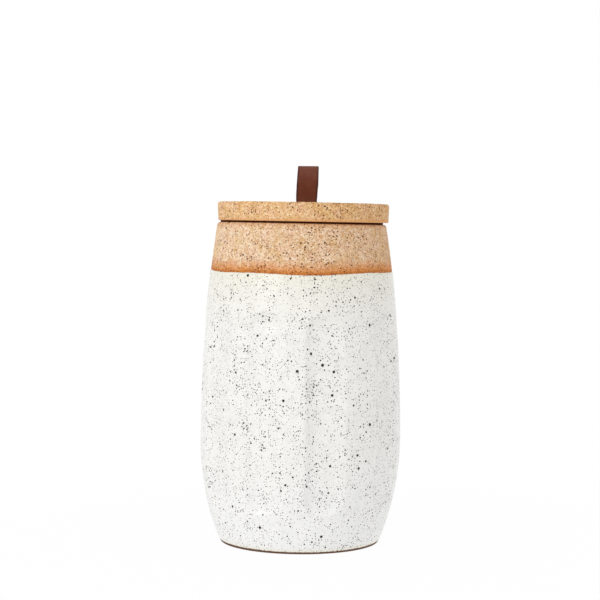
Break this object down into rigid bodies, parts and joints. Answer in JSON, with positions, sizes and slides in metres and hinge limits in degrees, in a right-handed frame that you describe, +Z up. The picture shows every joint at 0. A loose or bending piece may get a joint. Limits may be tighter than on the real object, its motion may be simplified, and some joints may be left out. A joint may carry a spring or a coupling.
{
  "type": "storage jar",
  "caption": "Barrel-shaped stoneware storage jar with carved arched flutes, a bare clay rim band, a flat plug lid on a soft seal and an upright leather loop.",
  "frame": {"origin": "middle of the foot, on the surface the jar stands on", "axes": "+Z up along the jar's axis, -Y towards the front, +X to the right seen from the front"},
  "size_m": [0.1161, 0.1176, 0.2187],
  "materials": {
    "glazed_stoneware": "satin white glaze with dark specks below a bare tan clay band",
    "bare_stoneware": "bare speckled clay, matt",
    "seal_silicone": "dark brown silicone, satin",
    "loop_leather": "dark brown leather with burnished edges",
    "rivet_metal": "aged brass"
  },
  "bodies": {
    "jar": {"jar_body": "glazed_stoneware"},
    "seal": {"lid_seal": "seal_silicone"},
    "lid": {"lid": "bare_stoneware", "leather_loop": "loop_leather", "rivet_post": "rivet_metal", "rivet_cap": "rivet_metal"}
  },
  "joints": [
    {"name": "lid_lift", "type": "slide", "parent": "jar", "child": "seal", "axis": [0, 0, 1], "range_m": [0, 0.12]},
    {"name": "lid_turn", "type": "hinge", "parent": "seal", "child": "lid", "pos_m": [0, 0, 0.1867], "axis": [0, 0, 1], "continuous": true}
  ]
}
